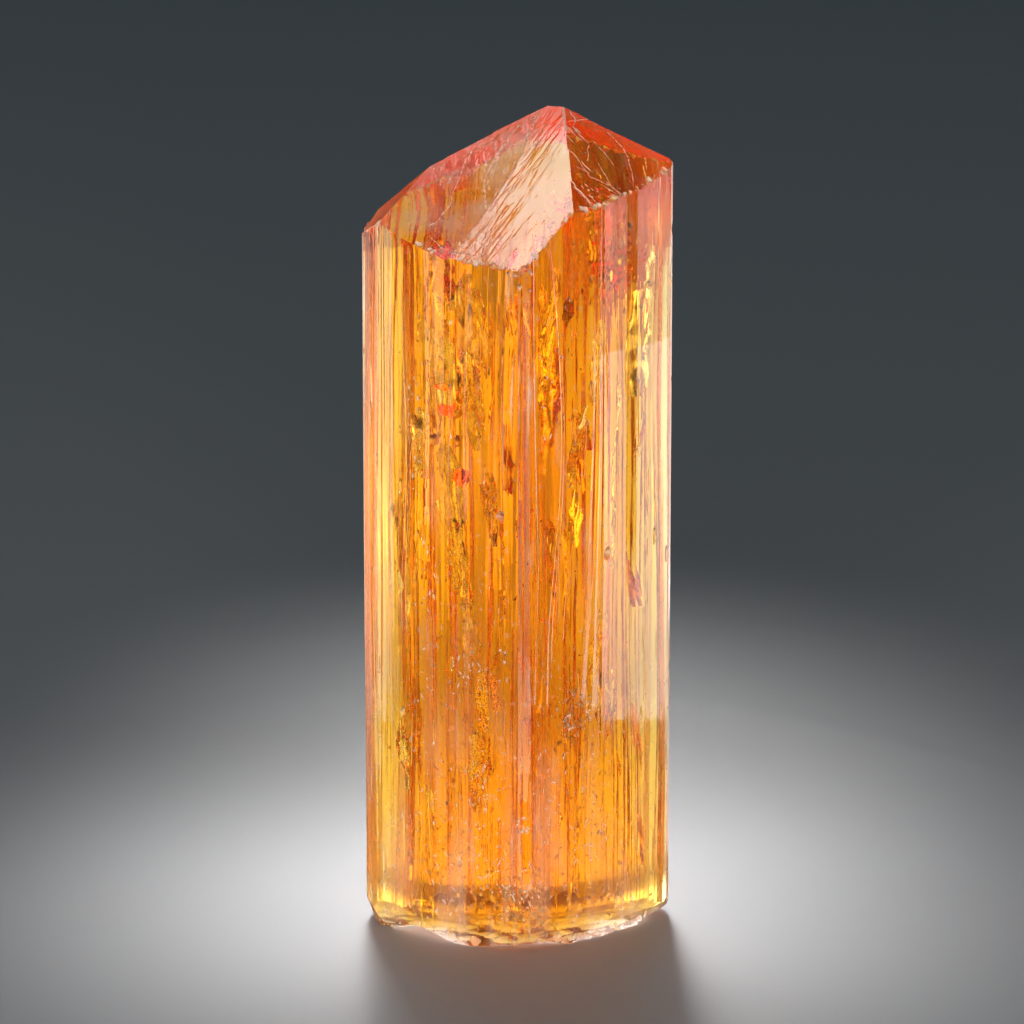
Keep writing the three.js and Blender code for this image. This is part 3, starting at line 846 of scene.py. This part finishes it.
def mark_kinds(mesh):
    """Marks each face with the kind of surface it is, in place of the materials. Of the top's
    grown faces the back ones are etched, and the left front one is hazy. Both also carry painted
    shade: a tint that makes the light seen through them darker and redder."""
    kinds = [face.material_index for face in mesh.polygons]
    for kind in (WORN, BROKEN, HEALED):
        mark_faces(mesh, KINDS[kind], [found == kind for found in kinds])
    rises = [face.normal.z > RISING and found == GROWN for face, found in zip(mesh.polygons, kinds)]
    mark_faces(mesh, "etched_and_shaded", [
        rising and face.normal.y > 0 for rising, face in zip(rises, mesh.polygons)])
    mark_faces(mesh, "hazy_and_shaded", [
        rising and face.normal.y < 0 and face.normal.x < 0
        for rising, face in zip(rises, mesh.polygons)])
    mesh.set_sharp_from_angle(angle=math.radians(SHARP))
    mesh.polygons.foreach_set("use_smooth", [found not in (GROWN, WORN) for found in kinds])
    mesh.polygons.foreach_set("material_index", [0] * len(kinds))
    mesh.materials.clear()


# ---- Material ----------------------------------------------------------------------------------

class Wire:
    """A node's output. Arithmetic on it adds the nodes that work the result out."""

    def __init__(self, tree, socket=None):
        self.tree = tree
        self.socket = socket

    def node(self, kind, settings=None, sockets=None, output=0):
        """A new node's output. Settings are set before the values or links of the sockets."""
        made = self.tree.nodes.new("ShaderNode" + kind)
        for name, value in (settings or {}).items():
            setattr(made, name, value)
        for name, value in (sockets or {}).items():
            if isinstance(value, Wire):
                self.tree.links.new(value.socket, made.inputs[name])
            else:
                made.inputs[name].default_value = value
        return Wire(self.tree, made.outputs[output] if made.outputs else None)

    def math(self, operation, first, second):
        return self.node("Math", {"operation": operation}, {0: first, 1: second})

    def __add__(self, other):
        return self.math("ADD", self, other)

    def __sub__(self, other):
        return self.math("SUBTRACT", self, other)

    def __rsub__(self, other):
        return self.math("SUBTRACT", other, self)

    def __mul__(self, other):
        return self.math("MULTIPLY", self, other)

    __radd__ = __add__
    __rmul__ = __mul__

    def noise(self, size, detail, stretch=1.0):
        """Noise on the object's own place, with marks of a size, in metres, drawn out upwards."""
        place = self.node("TexCoord", output="Object")
        drawn = self.node("Mapping", {}, {"Vector": place, "Scale": (1, 1, 1 / stretch)})
        sockets = {"Vector": drawn, "Scale": 1 / size, "Detail": detail}
        return self.node("TexNoise", {}, sockets)

    def above(self, low, high):
        """0 below the low value, 1 above the high one."""
        limits = {"Value": self, "From Min": low, "From Max": high}
        return self.node("MapRange", {"clamp": True}, limits)


REFRACTION = 1.62                # topaz's index
CLEAR_COLOUR = (1, 1, 1, 1)
SHADE_TINT = (1.0, 0.62, 0.40, 1)     # painted shade: tint that darkens the light seen through the top's etched and hazy faces
BRUISE = (0.95, 0.74, 0.60, 1)   # colour of rubbed, worn and broken stone, and of the painted reflection on the front edge
DEPTH_COLOUR = (0.990, 0.800, 0.010, 1)   # what light turns to on its way through
DENSITY = 500.0                  # how strongly it does, for each metre of the way
RELIEF = 0.000018                # height of the finest striations and grain, in metres

# Where the looks change, in metres: Y behind the middle and at the front edge, and Z low on the
# prism and at its foot. The hazy part of the top, which also carries the painted shade, ends by X
# less that share of Z.
BEHIND = (-0.001, 0.001)
FRONT_EDGE = (-0.0065, -0.0060)
LOW = (0.004, 0.020)
FOOT = (0.0009, 0.0015)
HAZE_AND_SHADE_END = (-0.0266, -0.0254)
HAZE_AND_SHADE_ASLANT = 0.62


def topaz_material():
    material = bpy.data.materials.new("topaz")
    material.use_nodes = True
    tree = material.node_tree
    tree.nodes.clear()
    start = Wire(tree)
    worn, broken, healed, etched_and_shaded, hazy_and_shaded = [
        start.node("Attribute", {"attribute_name": name}, output="Fac")
        for name in ("worn", "broken", "healed", "etched_and_shaded", "hazy_and_shaded")
    ]
    place = start.node("TexCoord", output="Object")
    x, y, z = [start.node("SeparateXYZ", {}, {0: place}, output=axis) for axis in "XYZ"]
    grown = 1 - worn - broken - healed
    hazy_and_shaded = hazy_and_shaded * (1 - (x - z * HAZE_AND_SHADE_ASLANT).above(*HAZE_AND_SHADE_END))
    behind = y.above(*BEHIND)
    # The front edge gets extra pale frosting below: a painted reflection on the narrow flat there.
    edge = 1 - y.above(*FRONT_EDGE)
    low = 1 - z.above(*LOW)
    foot = 1 - z.above(*FOOT)

    streaks = start.noise(0.00035, 3, stretch=14)
    silk = start.noise(0.00012, 2, stretch=30)
    patches = start.noise(0.0016, 3, stretch=5)
    grain = start.noise(0.00009, 2)
    specks = start.noise(0.00022, 1, stretch=1.6).above(0.66, 0.72)
    haze = start.noise(0.0018, 3).above(0.36, 0.64)

    height = grown * (0.4 + 2.2 * behind) * (streaks * 0.8 + silk * 0.15)
    height = height + (worn + broken) * (grain * 0.8)
    bump = start.node("Bump", {}, {"Strength": 1.0, "Distance": RELIEF, "Height": height})
    silky = 0.02 + behind * (0.20 + low * 0.10) + patches.above(0.4, 0.75) * 0.14
    roughness = grown * (silky + etched_and_shaded * 0.25) + broken * (0.38 + foot * 0.4) + worn * 0.3
    # Painted shade: the etched and hazy faces tint the light that passes through them darker and
    # redder.
    shade_tinted = start.node("Mix", {"data_type": "RGBA"}, {
        0: etched_and_shaded + hazy_and_shaded, 6: CLEAR_COLOUR, 7: SHADE_TINT}, output=2)
    clear = start.node("BsdfPrincipled", {}, {
        "Base Color": shade_tinted, "Transmission Weight": 1.0, "IOR": REFRACTION,
        "Roughness": roughness, "Normal": bump})
    bruised = start.node("BsdfPrincipled", {}, {
        "Base Color": BRUISE, "Roughness": 0.55, "Normal": bump})

    # How bruised each kind of surface looks. Grown faces are rubbed, milky, etched or hazy. The
    # extra pale frosting on the front edge is a painted reflection of its narrow flat.
    rubbed_with_edge_sheen = streaks.above(0.56, 0.72) * patches.above(0.42, 0.58) * (0.17 + edge * 0.4)
    milky = low * patches.above(0.46, 0.66) * 0.18 + specks * (0.15 + low * 0.3)
    frost_and_edge_sheen = grown * (rubbed_with_edge_sheen + milky + etched_and_shaded * 0.18 * patches.above(0.35, 0.6) + hazy_and_shaded * haze * 0.3)
    bruising_and_edge_sheen = worn * 0.7 + broken * grain.above(0.40, 0.62) * (0.42 - foot * 0.25) + frost_and_edge_sheen
    bruising_and_edge_sheen = bruising_and_edge_sheen + healed * grain.above(0.42, 0.66) * 0.12
    surface = start.node("MixShader", {}, {0: bruising_and_edge_sheen, 1: clear, 2: bruised})
    volume = start.node("VolumeAbsorption", {}, {"Color": DEPTH_COLOUR, "Density": DENSITY})
    start.node("OutputMaterial", {}, {"Surface": surface, "Volume": volume})
    return material


# ---- Stage, lights and camera, in metres -------------------------------------------------------

FLOOR_REACH = 3                  # from the middle to each side
FLOOR_DROP = 0.00002             # how far the floor is below the resting plane
FLOOR_COLOUR = (0.7, 0.7, 0.71, 1)
FLOOR_ROUGHNESS = 0.6


def build_stage():
    bm = bmesh.new()
    bmesh.ops.create_grid(bm, x_segments=1, y_segments=1, size=FLOOR_REACH)
    bmesh.ops.translate(bm, verts=bm.verts, vec=(0, 0, -FLOOR_DROP))
    floor = new_object("floor", bm, bpy.context.scene.collection)
    floor.data.materials.clear()
    pale = bpy.data.materials.new("pale floor")
    pale.use_nodes = True
    looks = pale.node_tree.nodes["Principled BSDF"].inputs
    looks["Base Color"].default_value = FLOOR_COLOUR
    looks["Roughness"].default_value = FLOOR_ROUGHNESS
    floor.data.materials.append(pale)


# Softboxes: name, place, point that it faces, size, brightness, and the angle in degrees by
# which its light spreads.
SOFTBOXES = [
    ("key", (-0.208, -0.0155, 0.52), (-0.208, -0.0155, 0), (0.054, 0.062), 7.0, 180),
    ("front", (-0.10, -0.50, 0.045), (0, 0, 0.02), (0.30, 0.07), 27, 180),
    ("glow", (0.0, 0.080, 0.100), (-0.002, 0.002, 0), (0.03, 0.02), 1.05, 20),
    ("skirt", (0.012, 0.20, 0.10), (0.006, 0.022, 0), (0.03, 0.02), 0.9, 16),
    ("back", (0.0, 0.050, 0.048), (0, 0, 0.002), (0.06, 0.03), 0.25, 50),
]
# Panels that lie flat and shine up into the crystal: name, two corners, height above the resting
# plane and brightness.
ON_FLOOR = 0.001
UNDER_CRYSTAL = -0.00001
PANELS = [
    ("under_panel", (-0.0070, -0.0051), (0.0070, 0.0060), UNDER_CRYSTAL, 3.8),
    ("near_panel", (-0.040, 0.0068), (0.040, 0.034), ON_FLOOR, 1.02),
    ("next_panel", (-0.060, 0.034), (0.060, 0.054), ON_FLOOR, 0.45),
    ("rear_left", (-0.135, 0.054), (-0.010, 0.240), ON_FLOOR, 0.98),
    ("rear_middle", (-0.010, 0.054), (0.028, 0.240), ON_FLOOR, 0.53),
    ("rear_right", (0.028, 0.054), (0.150, 0.240), ON_FLOOR, 1.55),
    ("right_panel", (0.044, -0.020), (0.235, 0.060), ON_FLOOR, 2.8),
    ("far_right_panel", (0.135, -0.020), (0.235, 0.060), ON_FLOOR, 0.8),
    ("left_panel", (-0.240, 0.006), (-0.044, 0.090), ON_FLOOR, 2.1),
    ("far_left_panel", (-0.200, -0.060), (-0.095, -0.014), ON_FLOOR, 1.2),
    ("fore_panel", (-0.050, -0.180), (0.050, -0.070), ON_FLOOR, 0.9),
    ("front_panel", (0.004, -0.062), (0.036, -0.030), ON_FLOOR, 1.5),
]
SKY = (0.61, 0.86, 1.0, 1)
SKY_BRIGHTNESS = 0.045


def softbox(name, spot, aim, size, brightness, spread=180):
    light = bpy.data.lights.new(name, "AREA")
    light.shape = "RECTANGLE"
    light.size, light.size_y = size
    light.spread = math.radians(spread)
    light.energy = brightness * math.pi * light.size * light.size_y
    lamp = bpy.data.objects.new(name, light)
    lamp.location = spot
    lamp.rotation_euler = (Vector(aim) - Vector(spot)).to_track_quat("-Z", "Y").to_euler()
    lamp.visible_camera = False
    bpy.context.scene.collection.objects.link(lamp)


def panel(name, low, high, level, brightness):
    spot = [(near + far) / 2 for near, far in zip(low, high)] + [level]
    size = [far - near for near, far in zip(low, high)]
    softbox(name, spot, (spot[0], spot[1], 1), size, brightness)


def build_lights():
    for box in SOFTBOXES:
        softbox(*box)
    for flat in PANELS:
        panel(*flat)
    world = bpy.data.worlds.new("studio")
    world.use_nodes = True
    sky = world.node_tree.nodes["Background"].inputs
    sky["Color"].default_value = SKY
    sky["Strength"].default_value = SKY_BRIGHTNESS
    bpy.context.scene.world = world


LENS = 196.875                   # focal length and sensor width, in millimetres
SENSOR = 36
CAMERA_SPOT = (-28.636, -292.087, 93.22)   # in millimetres, before the crystal is centred
CAMERA_AHEAD = (0.0940, 0.9678, -0.2334)
NEAREST = 0.01                   # things nearer to the camera than this aren't seen


def build_camera(centring):
    camera = bpy.data.objects.new("camera", bpy.data.cameras.new("camera"))
    camera.data.lens = LENS
    camera.data.sensor_width = SENSOR
    camera.data.clip_start = NEAREST
    camera.location = (Vector(CAMERA_SPOT) + centring) * MM
    camera.rotation_euler = Vector(CAMERA_AHEAD).to_track_quat("-Z", "Y").to_euler()
    bpy.context.scene.collection.objects.link(camera)
    bpy.context.scene.camera = camera


def set_bounces():
    """Lets light run far through the crystal, and holds back stray bright dots."""
    cycles = bpy.context.scene.cycles
    cycles.max_bounces = 24
    cycles.transmission_bounces = 24
    cycles.glossy_bounces = 12
    cycles.sample_clamp_indirect = 5


crystal = build_crystal()
mark_kinds(crystal.data)
centring = centre(crystal.data)
crystal.data.transform(Matrix.Scale(MM, 4))
crystal.data.materials.append(topaz_material())
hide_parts("topaz_crystal")
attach(crystal, "root")
build_stage()
build_lights()
build_camera(centring)
set_bounces()
bpy.context.scene.view_settings.view_transform = "Standard"
